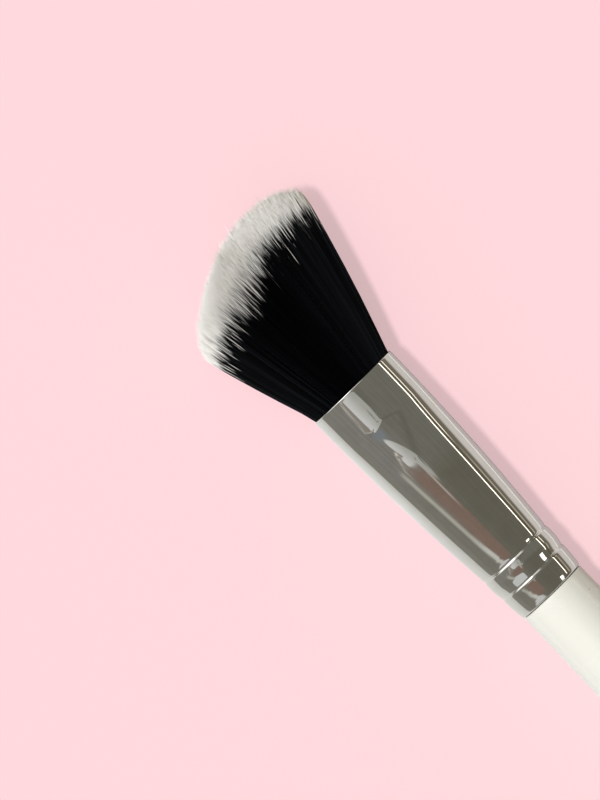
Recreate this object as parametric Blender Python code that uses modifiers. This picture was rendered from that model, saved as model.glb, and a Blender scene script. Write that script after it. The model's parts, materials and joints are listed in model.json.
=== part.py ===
"""An angled face brush lying on a table: a tuft of black fibres with white tips, a chromed
ferrule pressed oval at its mouth and crimped twice, and a white turned handle.

Every piece is drawn in the brush's own frame, in metres: the origin is the middle of the
ferrule's mouth, +X runs down the handle, -X up the tuft, +Y is the tuft's long side and +Z is
up. The pieces hang on one empty, which lays the brush on the table at z = 0."""

import math

import bmesh
import bpy
import numpy as np
from mathutils import Matrix, Vector

MM = 0.001

# Ferrule: a drawn tube, its mouth pressed to an oval, with two crimp grooves near the handle.
# The neck, crimps and bead are set out from the ferrule's handle end. Their depths are counted
# from the neck's radius, because they are rolled into a tube of that size.
FERRULE_LENGTH = 47.1 * MM
FERRULE_WALL = 0.4 * MM
MOUTH_HALF_WIDTH = 8.62 * MM
MOUTH_HALF_DEPTH = 7.3 * MM
PRESSED_LENGTH = 7.0 * MM
PRESS_EASE_LENGTH = 5.5 * MM
BARREL_HALF_DEPTH = 8.0 * MM
NECK_RADIUS = 7.05 * MM
NECK_FROM_END = 10.2 * MM
FIRST_CRIMP_DEPTH = 0.25 * MM
FIRST_CRIMP_FROM_END = 8.6 * MM
BEAD_DEPTH = 0.05 * MM
BEAD_FROM_END = 6.2 * MM
SECOND_CRIMP_DEPTH = 0.43 * MM
SECOND_CRIMP_FROM_END = 4.4 * MM
CRIMP_FLANK_SHARE = 0.5
BEAD_FLANK_SHARE = 0.6
BEAD_CROWN_SHARE = 0.9
CRIMP_HALF_WIDTH = 0.55 * MM
TAIL_DEPTH = 0.33 * MM
END_DEPTH = 0.47 * MM
END_ROLL_LENGTH = 0.5 * MM
END_ROLL_DEPTH = 0.22 * MM
FERRULE_SIDES = 48
EASE_RINGS = 4
BARREL_RINGS = 5

# Handle: turned wood under white lacquer, with a tenon that the ferrule is crimped on. Its
# shoulder is a step below the ferrule's end.
HANDLE_LENGTH = 95.6 * MM
SHOULDER_STEP = 0.27 * MM
SHOULDER_ROUND = 0.25 * MM
SWELL_RISE = 0.39 * MM
SWELL_FROM_SHOULDER = 32.6 * MM
BUTT_RADIUS = 4.2 * MM
BUTT_ROUND_LENGTH = 3.4 * MM
BUTT_FLAT_RADIUS = 2.0 * MM
TENON_LENGTH = 15.0 * MM
TENON_CHAMFER = 0.8 * MM
TENON_GROOVE_DEPTH = 0.25 * MM
HANDLE_SIDES = 44
SWELL_RINGS = 5
TAPER_RINGS = 7
BUTT_RINGS = 5

# Glue: an epoxy plug round the fibres' roots, and a sleeve round the handle's tenon.
SLICE_PLACE = 3.2 * MM
SLICE_THICKNESS = 1.6 * MM
PLUG_LENGTH = 11.0 * MM
GLUE_FRONT_MARGIN = 1.0 * MM
GLUE_REAR_MARGIN = 0.9 * MM
GLUE_SIDES = 32

# Thread: it ties the roots, in a waist of the plug, before they go into the ferrule.
THREAD_RADIUS = 0.3 * MM
THREAD_TURNS = 4
THREAD_PITCH = 1.1 * MM
THREAD_POINTS_PER_TURN = 16

# Clearances: seats between pieces, and thinner ones where glue fills a turned gap.
SEAT_GAP = 0.3 * MM
GLUE_GAP = 0.15 * MM
MERGE_DISTANCE = 0.01 * MM

FIRST_CRIMP_RADIUS = NECK_RADIUS - FIRST_CRIMP_DEPTH
BEAD_RADIUS = NECK_RADIUS - BEAD_DEPTH
SECOND_CRIMP_RADIUS = NECK_RADIUS - SECOND_CRIMP_DEPTH
TAIL_RADIUS = NECK_RADIUS - TAIL_DEPTH
END_RADIUS = NECK_RADIUS - END_DEPTH
SHOULDER_RADIUS = END_RADIUS - SHOULDER_STEP
SWELL_RADIUS = SHOULDER_RADIUS + SWELL_RISE
BARREL_PLACE = PRESSED_LENGTH + PRESS_EASE_LENGTH
NECK_PLACE = FERRULE_LENGTH - NECK_FROM_END
FIRST_CRIMP_PLACE = FERRULE_LENGTH - FIRST_CRIMP_FROM_END
BEAD_PLACE = FERRULE_LENGTH - BEAD_FROM_END
SECOND_CRIMP_PLACE = FERRULE_LENGTH - SECOND_CRIMP_FROM_END
SHOULDER_PLACE = FERRULE_LENGTH + SEAT_GAP
SWELL_PLACE = SHOULDER_PLACE + SWELL_FROM_SHOULDER
HANDLE_END = SHOULDER_PLACE + HANDLE_LENGTH
BUTT_PLACE = HANDLE_END - BUTT_ROUND_LENGTH
TENON_FRONT = FERRULE_LENGTH - TENON_LENGTH
PLUG_PLACE = SLICE_PLACE + SLICE_THICKNESS + SEAT_GAP

# Tuft: fibres that fan out from the mouth, trimmed to a dome that leans to the long side.
TUFT_LENGTH = 32.6 * MM
TUFT_RIM_GAP = 0.2 * MM
WIDTH_SPREAD_SHARE = 0.355
WIDTH_CURL_SHARE = 0.2
DEPTH_SPREAD_SHARE = 0.125
DEPTH_CURL_SHARE = 0.25
LOCK_COUNT = 400
LOCK_SIDES = 3
LOCK_ROOT_RADIUS = 0.19 * MM
LOCK_BELLY_RADIUS = 0.28 * MM
LOCK_SHOULDER_RADIUS = 0.22 * MM
LOCK_OVERRUN = 0.4 * MM
WHITE_TIP_LENGTH = 5.0 * MM
TIP_SCATTER_SHARE = 0.05
DOME_FALL_SHARE = 0.30
BELLY_SHARE = 0.45
GAP_STATIONS = 12
# The tuft's outline from the short side (-1) to the long side (1), as shares of its length.
OUTLINE_SIDE_SHARES = (-1.0, -0.8, -0.45, -0.1, 0.3, 0.6, 0.85, 1.0)
OUTLINE_LENGTH_SHARES = (0.60, 0.722, 0.843, 0.936, 0.99, 0.986, 0.94, 0.845)
SCATTER_SEED = 7

GOLDEN_ANGLE = math.pi * (3 - math.sqrt(5))
SHARP_ANGLE = math.radians(35)
MOST_TILT = math.radians(10)
TILT_HALVINGS = 40


def clear_scene():
    for obj in list(bpy.data.objects):
        bpy.data.objects.remove(obj, do_unlink=True)


def material(name, colour, roughness, metallic=0.0):
    made = bpy.data.materials.new(name)
    made.use_nodes = True
    shader = made.node_tree.nodes["Principled BSDF"]
    shader.inputs["Base Color"].default_value = (*colour, 1.0)
    shader.inputs["Roughness"].default_value = roughness
    shader.inputs["Metallic"].default_value = metallic
    made.diffuse_color = (*colour, 1.0)
    return made


def add_object(name, mesh, *materials):
    obj = bpy.data.objects.new(name, mesh)
    for made in materials:
        mesh.materials.append(made)
    bpy.data.collections["angled_face_brush"].objects.link(obj)
    return obj


def shade_round(mesh):
    mesh.shade_smooth()
    mesh.set_sharp_from_angle(angle=SHARP_ANGLE)


# Shapes

def between(start, end, share):
    return start + share * (end - start)


def smooth(share):
    """A share that eases in and out."""
    return share * share * (3 - 2 * share)


def ellipse_ring(place, half_width, half_depth, sides):
    """Points of an oval square to the X axis, anticlockwise seen from +X."""
    angles = (2 * math.pi * step / sides for step in range(sides))
    return [Vector((place, half_width * math.cos(a), half_depth * math.sin(a))) for a in angles]


def loft(name, rings, closed_loop=False):
    """A skin over rings of equal count. It ends in caps, or its last ring joins its first."""
    shape = bmesh.new()
    loops = [[shape.verts.new(point) for point in ring] for ring in rings]
    pairs = list(zip(loops, loops[1:]))
    if closed_loop:
        pairs.append((loops[-1], loops[0]))
    else:
        shape.faces.new(loops[0])
        shape.faces.new(reversed(loops[-1]))
    for first, second in pairs:
        for i in range(len(first)):
            j = (i + 1) % len(first)
            shape.faces.new((first[i], second[i], second[j], first[j]))
    bmesh.ops.recalc_face_normals(shape, faces=shape.faces)
    mesh = bpy.data.meshes.new(name)
    shape.to_mesh(mesh)
    shape.free()
    return mesh


def turned(name, profile, sides, finish):
    """A solid turned about the X axis from (place, radius) points, by a Screw modifier."""
    mesh = bpy.data.meshes.new(name)
    points = [(place, 0.0, radius) for place, radius in profile]
    mesh.from_pydata(points, [(i, i + 1) for i in range(len(points) - 1)], [])
    obj = add_object(name, mesh, finish)
    screw = obj.modifiers.new("turn", "SCREW")
    screw.axis = "X"
    screw.steps = screw.render_steps = sides
    screw.use_merge_vertices = True
    screw.merge_threshold = MERGE_DISTANCE
    screw.use_smooth_shade = True
    return obj


def arc(centre, start, end, steps):
    """Points of a quarter ellipse from start to end round centre, both ends included."""
    points = []
    for step in range(steps + 1):
        turn = 0.5 * math.pi * step / steps
        along, across = math.cos(turn), math.sin(turn)
        points.append(tuple(c + along * (s - c) + across * (e - c)
                            for c, s, e in zip(centre, start, end)))
    return points


def eased(start, end, steps):
    """Points between start and end whose radius eases in and out, without the first."""
    points = []
    for step in range(1, steps + 1):
        share = step / steps
        points.append((between(start[0], end[0], share), between(start[1], end[1], smooth(share))))
    return points


# Ferrule

def oval_halves(place, inset=0.0):
    """Half width and half depth of the ferrule's oval stretch. The width falls in a parabola
    from mouth to neck. The depth is pressed at the mouth, eases out to the barrel's, and then
    falls to the neck in a parabola too."""
    half_width = between(MOUTH_HALF_WIDTH, NECK_RADIUS, (place / NECK_PLACE) ** 2)
    if place < BARREL_PLACE:
        share = smooth(max(0.0, place - PRESSED_LENGTH) / PRESS_EASE_LENGTH)
        half_depth = between(MOUTH_HALF_DEPTH, BARREL_HALF_DEPTH, share)
    else:
        share = ((place - BARREL_PLACE) / (NECK_PLACE - BARREL_PLACE)) ** 2
        half_depth = between(BARREL_HALF_DEPTH, NECK_RADIUS, share)
    return half_width - inset, half_depth - inset


def oval_places():
    """Where the oval stretch has its rings, which are closest where its depth changes."""
    ease = [between(PRESSED_LENGTH, BARREL_PLACE, step / EASE_RINGS) for step in range(EASE_RINGS + 1)]
    barrel = [between(BARREL_PLACE, NECK_PLACE, (step + 1) / BARREL_RINGS) for step in range(BARREL_RINGS)]
    return [0.0, *ease, *barrel]


def crimp_profile():
    """(place, radius) points of the ferrule's round stretch, from past the neck to its end."""
    first = ((FIRST_CRIMP_PLACE - CRIMP_HALF_WIDTH,
              between(FIRST_CRIMP_RADIUS, NECK_RADIUS, CRIMP_FLANK_SHARE)),
             (FIRST_CRIMP_PLACE, FIRST_CRIMP_RADIUS),
             (FIRST_CRIMP_PLACE + CRIMP_HALF_WIDTH,
              between(FIRST_CRIMP_RADIUS, BEAD_RADIUS, CRIMP_FLANK_SHARE)))
    bead = ((BEAD_PLACE - CRIMP_HALF_WIDTH,
             between(FIRST_CRIMP_RADIUS, BEAD_RADIUS, BEAD_CROWN_SHARE)),
            (BEAD_PLACE, BEAD_RADIUS))
    second = ((SECOND_CRIMP_PLACE - CRIMP_HALF_WIDTH,
               between(SECOND_CRIMP_RADIUS, BEAD_RADIUS, BEAD_FLANK_SHARE)),
              (SECOND_CRIMP_PLACE, SECOND_CRIMP_RADIUS),
              (SECOND_CRIMP_PLACE + CRIMP_HALF_WIDTH, TAIL_RADIUS))
    tail = ((FERRULE_LENGTH - END_ROLL_LENGTH, END_RADIUS),
            (FERRULE_LENGTH, END_RADIUS - END_ROLL_DEPTH))
    return first + bead + second + tail


def ferrule_rings(inset=0.0):
    rings = [ellipse_ring(place, *oval_halves(place, inset), FERRULE_SIDES) for place in oval_places()]
    for place, radius in crimp_profile():
        rings.append(ellipse_ring(place, radius - inset, radius - inset, FERRULE_SIDES))
    return rings


def make_ferrule(chrome):
    outside = ferrule_rings()
    inside = ferrule_rings(FERRULE_WALL)
    mesh = loft("ferrule", outside + inside[::-1], closed_loop=True)
    shade_round(mesh)
    return add_object("ferrule", mesh, chrome)


# Handle and its glue

def inner_radius(place):
    """The ferrule's inner radius along its round stretch."""
    profile = ((0.0, NECK_RADIUS), (NECK_PLACE, NECK_RADIUS)) + crimp_profile()
    places, radii = zip(*profile)
    return float(np.interp(place, places, radii)) - FERRULE_WALL


def tenon_radius():
    """The tenon slides through the ferrule's narrowest place, which is its rolled end."""
    narrowest = min(radius for _, radius in crimp_profile()) - FERRULE_WALL
    return narrowest - SEAT_GAP


def tenon_crimps():
    """(place, radius) points of the grooves that the crimps press into the tenon."""
    points = []
    for crimp in (FIRST_CRIMP_PLACE, SECOND_CRIMP_PLACE):
        points += [(crimp - CRIMP_HALF_WIDTH, tenon_radius()),
                   (crimp, tenon_radius() - TENON_GROOVE_DEPTH),
                   (crimp + CRIMP_HALF_WIDTH, tenon_radius())]
    return points


def make_handle(lacquer):
    profile = [(TENON_FRONT, 0.0), (TENON_FRONT, tenon_radius() - TENON_CHAMFER),
               (TENON_FRONT + TENON_CHAMFER, tenon_radius()), *tenon_crimps(),
               (SHOULDER_PLACE, tenon_radius()), (SHOULDER_PLACE, SHOULDER_RADIUS - SHOULDER_ROUND),
               (SHOULDER_PLACE + SHOULDER_ROUND, SHOULDER_RADIUS)]
    profile += eased(profile[-1], (SWELL_PLACE, SWELL_RADIUS), SWELL_RINGS)
    profile += eased(profile[-1], (BUTT_PLACE, BUTT_RADIUS), TAPER_RINGS)
    butt = arc((BUTT_PLACE, BUTT_FLAT_RADIUS), (BUTT_PLACE, BUTT_RADIUS),
               (HANDLE_END, BUTT_FLAT_RADIUS), BUTT_RINGS)
    profile += butt[1:]
    profile.append((HANDLE_END, 0.0))
    return turned("handle", profile[::-1], HANDLE_SIDES, lacquer)


def make_tenon_glue(glue):
    """A sleeve that fills the ferrule round the tenon, from behind its chamfer to near the end."""
    front = TENON_FRONT + TENON_CHAMFER + GLUE_FRONT_MARGIN
    rear = FERRULE_LENGTH - GLUE_REAR_MARGIN
    crimps = [place for place, _ in crimp_profile() if place < rear]
    places = [front, NECK_PLACE, *crimps, rear]
    outside = [(place, inner_radius(place) - GLUE_GAP) for place in places]
    inside = [(front, tenon_radius()), *tenon_crimps(), (rear, tenon_radius())]
    inside = [(place, radius + GLUE_GAP) for place, radius in inside]
    rings = [ellipse_ring(place, radius, radius, GLUE_SIDES) for place, radius in outside + inside[::-1]]
    mesh = loft("tenon_glue", rings, closed_loop=True)
    shade_round(mesh)
    return add_object("tenon_glue", mesh, glue)


# Tuft and its root

def root_halves(place, inset=0.0):
    """Half width and half depth of what fills the ferrule at a place inside its mouth."""
    return oval_halves(place, FERRULE_WALL + TUFT_RIM_GAP + inset)


def thread_stretch():
    """Where the thread's turns start and end along the brush, halfway down the plug."""
    half = 0.5 * THREAD_TURNS * THREAD_PITCH
    middle = PLUG_PLACE + 0.5 * PLUG_LENGTH
    return middle - half, middle + half


def make_root_plug(glue):
    """The plug, with a waist for the thread."""
    first, last = thread_stretch()
    waist = 2 * THREAD_RADIUS + SEAT_GAP
    margin = THREAD_RADIUS + SEAT_GAP
    stations = ((PLUG_PLACE, 0.0), (first - margin, 0.0), (first - margin, waist),
                (last + margin, waist), (last + margin, 0.0), (PLUG_PLACE + PLUG_LENGTH, 0.0))
    rings = [ellipse_ring(place, *root_halves(place, inset), GLUE_SIDES) for place, inset in stations]
    mesh = loft("root_plug", rings)
    shade_round(mesh)
    return add_object("root_plug", mesh, glue)


def thread_points():
    first, last = thread_stretch()
    count = THREAD_TURNS * THREAD_POINTS_PER_TURN
    points = []
    for step in range(count + 1):
        place = between(first, last, step / count)
        turn = 2 * math.pi * step / THREAD_POINTS_PER_TURN
        half_width, half_depth = root_halves(place, THREAD_RADIUS)
        points.append((place, half_width * math.cos(turn), half_depth * math.sin(turn)))
    return points


def make_thread(cotton):
    """The thread's turns as one unbroken tube, whose caps are welded."""
    curve = bpy.data.curves.new("binding_thread", "CURVE")
    curve.dimensions = "3D"
    curve.bevel_depth = THREAD_RADIUS
    curve.bevel_resolution = 1
    curve.use_fill_caps = True
    points = thread_points()
    spline = curve.splines.new("POLY")
    spline.points.add(len(points) - 1)
    for point, place in zip(spline.points, points):
        point.co = (*place, 1.0)
    obj = bpy.data.objects.new("binding_thread", curve)
    curve.materials.append(cotton)
    bpy.data.collections["angled_face_brush"].objects.link(obj)
    print("least gap between turns, mm", round((THREAD_PITCH - 2 * THREAD_RADIUS) / MM, 3))
    return obj


def outline_share(side):
    """The tuft's length at a place across its width, as a share, on a smooth curve."""
    sides = np.array(OUTLINE_SIDE_SHARES)
    shares = np.array(OUTLINE_LENGTH_SHARES)
    slopes = np.gradient(shares, sides)
    i = int(np.clip(np.searchsorted(sides, side) - 1, 0, len(sides) - 2))
    width = sides[i + 1] - sides[i]
    t = (side - sides[i]) / width
    return float((2 * t**3 - 3 * t**2 + 1) * shares[i] + (t**3 - 2 * t**2 + t) * width * slopes[i]
                 + (3 * t**2 - 2 * t**3) * shares[i + 1] + (t**3 - t**2) * width * slopes[i + 1])


def lock_length(side, rise):
    """How far a lock reaches past the mouth. side and rise run from -1 to 1 over the mouth."""
    return TUFT_LENGTH * outline_share(side) * math.sqrt(1 - DOME_FALL_SHARE * rise * rise)


def lock_point(side, rise, reach):
    """A lock's centre line, at its reach past the mouth."""
    half_width, half_depth = root_halves(0.0, LOCK_BELLY_RADIUS)
    reached = max(reach, 0.0) / TUFT_LENGTH
    width_spread = WIDTH_SPREAD_SHARE * (1 - WIDTH_CURL_SHARE * reached)
    depth_spread = DEPTH_SPREAD_SHARE * (1 - DEPTH_CURL_SHARE * reached)
    return Vector((-reach, side * (half_width + width_spread * reach),
                   rise * (half_depth + depth_spread * reach)))


def lock_ring(centre, radius, turn):
    """A triangle round centre, square to the X axis."""
    steps = (turn + 2 * math.pi * k / LOCK_SIDES for k in range(LOCK_SIDES))
    return [centre + Vector((0.0, radius * math.cos(a), radius * math.sin(a))) for a in steps]


def lock_plan():
    """Each lock's place over the mouth, on a sunflower spiral, with its turn and its length."""
    rng = np.random.default_rng(SCATTER_SEED)
    plan = []
    for i in range(LOCK_COUNT):
        distance = math.sqrt((i + 0.5) / LOCK_COUNT)
        turn = i * GOLDEN_ANGLE
        side, rise = distance * math.cos(turn), distance * math.sin(turn)
        scatter = 1 - TIP_SCATTER_SHARE * rng.random()
        plan.append((side, rise, turn, lock_length(side, rise) * scatter))
    return plan


def lock_stations(length):
    """(reach, radius) from a lock's root to where its white tip starts."""
    return ((-SLICE_PLACE - LOCK_OVERRUN, LOCK_ROOT_RADIUS), (BELLY_SHARE * length, LOCK_BELLY_RADIUS),
            (length - WHITE_TIP_LENGTH, LOCK_SHOULDER_RADIUS))


def lock_line(side, rise, length, reach):
    """The point and radius of a lock, as it is built between its stations, at a reach."""
    stations = (*lock_stations(length), (length, 0.0))
    reaches, radii = zip(*stations)
    points = [lock_point(side, rise, place) for place in reaches]
    return (*(np.interp(reach, reaches, axis) for axis in zip(*points)), np.interp(reach, reaches, radii))


def least_lock_gap():
    """The least gap between two locks, measured square to the brush on points along them."""
    least = TUFT_LENGTH
    plan = lock_plan()
    for step in range(GAP_STATIONS):
        reach = between(-SLICE_PLACE, TUFT_LENGTH, step / GAP_STATIONS)
        rows = np.array([lock_line(side, rise, length, reach)
                         for side, rise, _, length in plan if length > reach])
        apart = np.linalg.norm(rows[:, None, 1:3] - rows[None, :, 1:3], axis=2)
        gaps = apart - rows[:, None, 3] - rows[None, :, 3]
        np.fill_diagonal(gaps, TUFT_LENGTH)
        least = min(least, gaps.min())
    return least


def locks_mesh():
    """All locks as one mesh of separate spikes, whose roots run into the root slice."""
    shape = bmesh.new()
    for side, rise, turn, length in lock_plan():
        rings = [[shape.verts.new(p) for p in lock_ring(lock_point(side, rise, reach), radius, turn)]
                 for reach, radius in lock_stations(length)]
        tip = shape.verts.new(lock_point(side, rise, length))
        shape.faces.new(rings[0][::-1])
        for first, second in zip(rings, rings[1:]):
            for k in range(LOCK_SIDES):
                n = (k + 1) % LOCK_SIDES
                shape.faces.new((first[k], first[n], second[n], second[k]))
        for k in range(LOCK_SIDES):
            face = shape.faces.new((rings[-1][k], rings[-1][(k + 1) % LOCK_SIDES], tip))
            face.material_index = 1
    bmesh.ops.recalc_face_normals(shape, faces=shape.faces)
    mesh = bpy.data.meshes.new("locks")
    shape.to_mesh(mesh)
    shape.free()
    return mesh


def make_tuft(black, white):
    """The locks, joined by a Boolean union to the slice of glue that their roots stand in."""
    slice_places = (SLICE_PLACE, SLICE_PLACE + SLICE_THICKNESS)
    rings = [ellipse_ring(place, *root_halves(place), GLUE_SIDES) for place in slice_places]
    tuft = add_object("bristle_tuft", loft("bristle_tuft", rings), black, white)
    locks = bpy.data.objects.new("locks", locks_mesh())
    for made in (black, white):
        locks.data.materials.append(made)
    bpy.data.collections["cutters"].objects.link(locks)
    locks.hide_render = True
    locks.display_type = "WIRE"
    union = tuft.modifiers.new("roots", "BOOLEAN")
    union.operation = "UNION"
    union.object = locks
    print("least gap between locks, mm", round(least_lock_gap() / MM, 3))
    return tuft


# The brush on its table

def points_of(obj):
    """The piece's evaluated points in the brush's own frame."""
    graph = bpy.context.evaluated_depsgraph_get()
    mesh = obj.evaluated_get(graph).to_mesh()
    points = np.empty(len(mesh.vertices) * 3)
    mesh.vertices.foreach_get("co", points)
    return points.reshape(-1, 3)


def tilted(points, tilt):
    """points turned about the Y axis, so that a positive tilt lowers the handle."""
    cos, sin = math.cos(tilt), math.sin(tilt)
    x, y, z = points.T
    return np.stack((cos * x + sin * z, y, cos * z - sin * x), axis=1)


def lay_on_table(cradle, pieces, tuft, handle):
    """Turns and moves the cradle so that the tuft and the handle's swell both touch z = 0,
    with the brush's box centred on the origin."""
    low, high = -MOST_TILT, MOST_TILT
    tuft_points, handle_points = points_of(tuft), points_of(handle)
    for _ in range(TILT_HALVINGS):
        tilt = 0.5 * (low + high)
        lifted = tilted(handle_points, tilt)[:, 2].min() - tilted(tuft_points, tilt)[:, 2].min()
        low, high = (tilt, high) if lifted > 0 else (low, tilt)
    every = tilted(np.concatenate([points_of(piece) for piece in pieces]), tilt)
    lowest, highest = every.min(axis=0), every.max(axis=0)
    middle = 0.5 * (lowest + highest)
    cradle.rotation_euler = (0.0, tilt, 0.0)
    cradle.location = (-middle[0], -middle[1], -lowest[2])
    return tilt


def make_cradle():
    cradle = bpy.data.objects.new("brush_axis", None)
    bpy.data.collections["angled_face_brush"].objects.link(cradle)
    return cradle


def main():
    clear_scene()
    for name in ("angled_face_brush", "cutters"):
        bpy.context.scene.collection.children.link(bpy.data.collections.new(name))
    chrome = material("chrome", (0.78, 0.77, 0.75), 0.06, metallic=1.0)
    lacquer = material("white_lacquer", (0.90, 0.90, 0.86), 0.18)
    epoxy = material("epoxy", (0.62, 0.50, 0.30), 0.30)
    wood_glue = material("wood_glue", (0.85, 0.80, 0.66), 0.45)
    black_fibre = material("black_fibre", (0.012, 0.012, 0.014), 0.42)
    white_fibre = material("white_fibre", (0.84, 0.85, 0.82), 0.55)
    cotton = material("cotton", (0.80, 0.76, 0.66), 0.85)

    tuft = make_tuft(black_fibre, white_fibre)
    handle = make_handle(lacquer)
    pieces = [tuft, make_root_plug(epoxy), make_thread(cotton), make_ferrule(chrome),
              make_tenon_glue(wood_glue), handle]
    cradle = make_cradle()
    bpy.context.view_layer.update()
    tilt = lay_on_table(cradle, pieces, tuft, handle)
    for piece in [*pieces, *bpy.data.collections["cutters"].objects]:
        piece.parent = cradle
    bpy.context.view_layer.update()
    butt = cradle.matrix_world @ Vector((HANDLE_END, 0.0, 0.0))
    along = Matrix.Rotation(tilt, 3, "Y") @ Vector((1.0, 0.0, 0.0))
    print("mouth at", tuple(round(v, 6) for v in cradle.matrix_world.translation))
    print("butt face at", tuple(round(v, 6) for v in butt), "facing", tuple(round(v, 6) for v in along))
    print("tilt in degrees", round(math.degrees(tilt), 4))


main()
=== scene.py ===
"""The looks of the angled face brush: dense two-tone fibres, a chromed ferrule and a lacquered
handle, seen from straight above on a pale floor.

Every piece is drawn in the brush's own frame, in metres: the origin is the middle of the
ferrule's mouth, +X runs down the handle, +Y is the tuft's long side and +Z is up. A matrix from
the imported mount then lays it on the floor."""

import json
import math

import bpy
import numpy as np
from mathutils import Matrix, Vector, kdtree

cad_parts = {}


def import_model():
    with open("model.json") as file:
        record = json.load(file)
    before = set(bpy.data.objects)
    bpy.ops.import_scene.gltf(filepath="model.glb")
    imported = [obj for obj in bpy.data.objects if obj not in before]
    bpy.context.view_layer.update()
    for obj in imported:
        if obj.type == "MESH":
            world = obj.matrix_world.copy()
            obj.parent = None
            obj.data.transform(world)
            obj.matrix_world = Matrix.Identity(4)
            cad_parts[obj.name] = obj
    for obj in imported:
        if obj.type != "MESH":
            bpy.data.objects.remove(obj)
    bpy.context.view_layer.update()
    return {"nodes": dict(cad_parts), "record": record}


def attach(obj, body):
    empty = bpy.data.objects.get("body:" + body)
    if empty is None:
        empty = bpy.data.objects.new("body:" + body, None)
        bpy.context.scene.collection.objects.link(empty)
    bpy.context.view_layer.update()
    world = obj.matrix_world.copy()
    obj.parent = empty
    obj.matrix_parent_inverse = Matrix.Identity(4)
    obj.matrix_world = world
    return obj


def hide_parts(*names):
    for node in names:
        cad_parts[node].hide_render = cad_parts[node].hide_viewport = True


MM = 0.001

# The brush, as it is built in the CAD model
MOUTH_TO_BUTT = 143.0 * MM
FERRULE_LENGTH = 47.1 * MM
FERRULE_WALL = 0.4 * MM
MOUTH_HALF_WIDTH = 8.62 * MM
MOUTH_HALF_DEPTH = 7.3 * MM
PRESSED_LENGTH = 7.0 * MM
BARREL_HALF_DEPTH = 8.0 * MM
NECK_RADIUS = 7.05 * MM
NECK_PLACE = 36.9 * MM
SHOULDER_RADIUS = 6.31 * MM
SWELL_RADIUS = 6.7 * MM
SWELL_PLACE = 80.0 * MM
BUTT_RADIUS = 4.2 * MM
BUTT_PLACE = 139.6 * MM
BUTT_FLAT_RADIUS = 2.0 * MM
TUFT_LENGTH = 32.6 * MM
SLICE_PLACE = 3.2 * MM
SLICE_THICKNESS = 1.6 * MM

# Photograph: its scale and the places on it that the camera is fitted to
PHOTO_WIDTH, PHOTO_HEIGHT = 600, 800
PIXEL = 0.165 * MM
MOUTH_X, MOUTH_Y = 352.3, 386.8
BRUSH_ANGLE = math.radians(45.77)
CAMERA_DISTANCE = 1500.0 * MM
CAMERA_CLIP_START = 10.0 * MM
SENSOR_HEIGHT = 24.0

# Ferrule: its oval opens more slowly than the CAD model's, as its reflections ask
BARREL_PLACE = 16.0 * MM
MOUTH_DIP = 0.1 * MM
EASE_START_SHARE = 0.12
# (distance from its handle end, radius) down the crimped stretch, in millimetres
CRIMP_POINTS = (
    (10.2, 7.05), (9.6, 6.9975), (9.1, 6.945), (8.9, 6.912), (8.77, 6.87), (8.6, 6.79), (8.43, 6.87),
    (8.3, 6.945), (8.1, 6.969), (7.7, 6.986), (7.3, 6.993), (6.9, 6.994), (6.5, 6.987), (6.0, 6.957),
    (5.4, 6.86), (4.85, 6.75), (4.6, 6.70), (4.4, 6.60), (4.2, 6.70), (4.0, 6.75), (3.6, 6.755),
    (3.0, 6.73), (2.4, 6.69), (1.6, 6.63), (0.8, 6.55), (0.35, 6.475), (0.1, 6.38), (0.0, 6.26))
FERRULE_SIDES = 160
OVAL_STEP = 0.3 * MM
CRIMP_STEP = 0.05 * MM
RIM_ROUND = 0.18 * MM
INSIDE_RING_STEP = 8

# Handle
HANDLE_SIDES = 128
HANDLE_GAP = 0.12 * MM
SHOULDER_ROUND = 0.3 * MM
HANDLE_STEP = 1.0 * MM
EDGE_STEPS = 4
BUTT_STEPS = 12

# Fibres: how many, how thick, and where they run
FIBRE_COUNT = 32000
FIBRES_PER_PIECE = 3600
FIBRE_RADIUS = 0.046 * MM
FIBRE_THICKNESS_SHARES = (0.8, 1.15)
FIBRE_TIP_SHARE = 0.35
FIBRE_SIDES = 3
TAPER_LENGTH = 3.5 * MM
TAPER_POWER = 0.7
MOUTH_CLEARANCE = 0.05 * MM
WIDTH_SPREAD_SHARE = 0.355
WIDTH_CURL_SHARE = 0.2
DEPTH_SPREAD_SHARE = 0.125
DEPTH_CURL_SHARE = 0.25
DOME_FALL_SHARE = 0.30
FLOOR_CLEARANCE = 0.08 * MM
OUTER_SHARE = 0.78
OUTER_STATIONS = (0.0, 0.1, 0.25, 0.42, 0.6, 0.75, 0.87, 0.95, 1.0)
INNER_STATIONS = (0.0, 0.35, 0.6, 0.78, 0.91, 1.0)
INNER_REACH = 15.0 * MM
LOCK_COUNT = 7500
LOCK_PULL_SHARE = 0.3
TIP_SCATTER = 0.55 * MM
STRAY_SHARE = 0.12
STRAY_LENGTH = 4.0 * MM
WANDER = 0.15 * MM
WANDER_POWER = 1.5
# The tuft's length across its width, from the short side (-1) to the long side (1)
OUTLINE_SIDE_SHARES = (-1.0, -0.9, -0.757, -0.548, -0.32, -0.117, 0.077, 0.254, 0.432, 0.637, 0.8,
                       0.96, 1.0)
OUTLINE_LENGTH_SHARES = (0.60, 0.675, 0.742, 0.813, 0.883, 0.932, 0.969, 0.989, 0.994, 0.984, 0.9585,
                         0.896, 0.86)
SEED = 11

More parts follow.
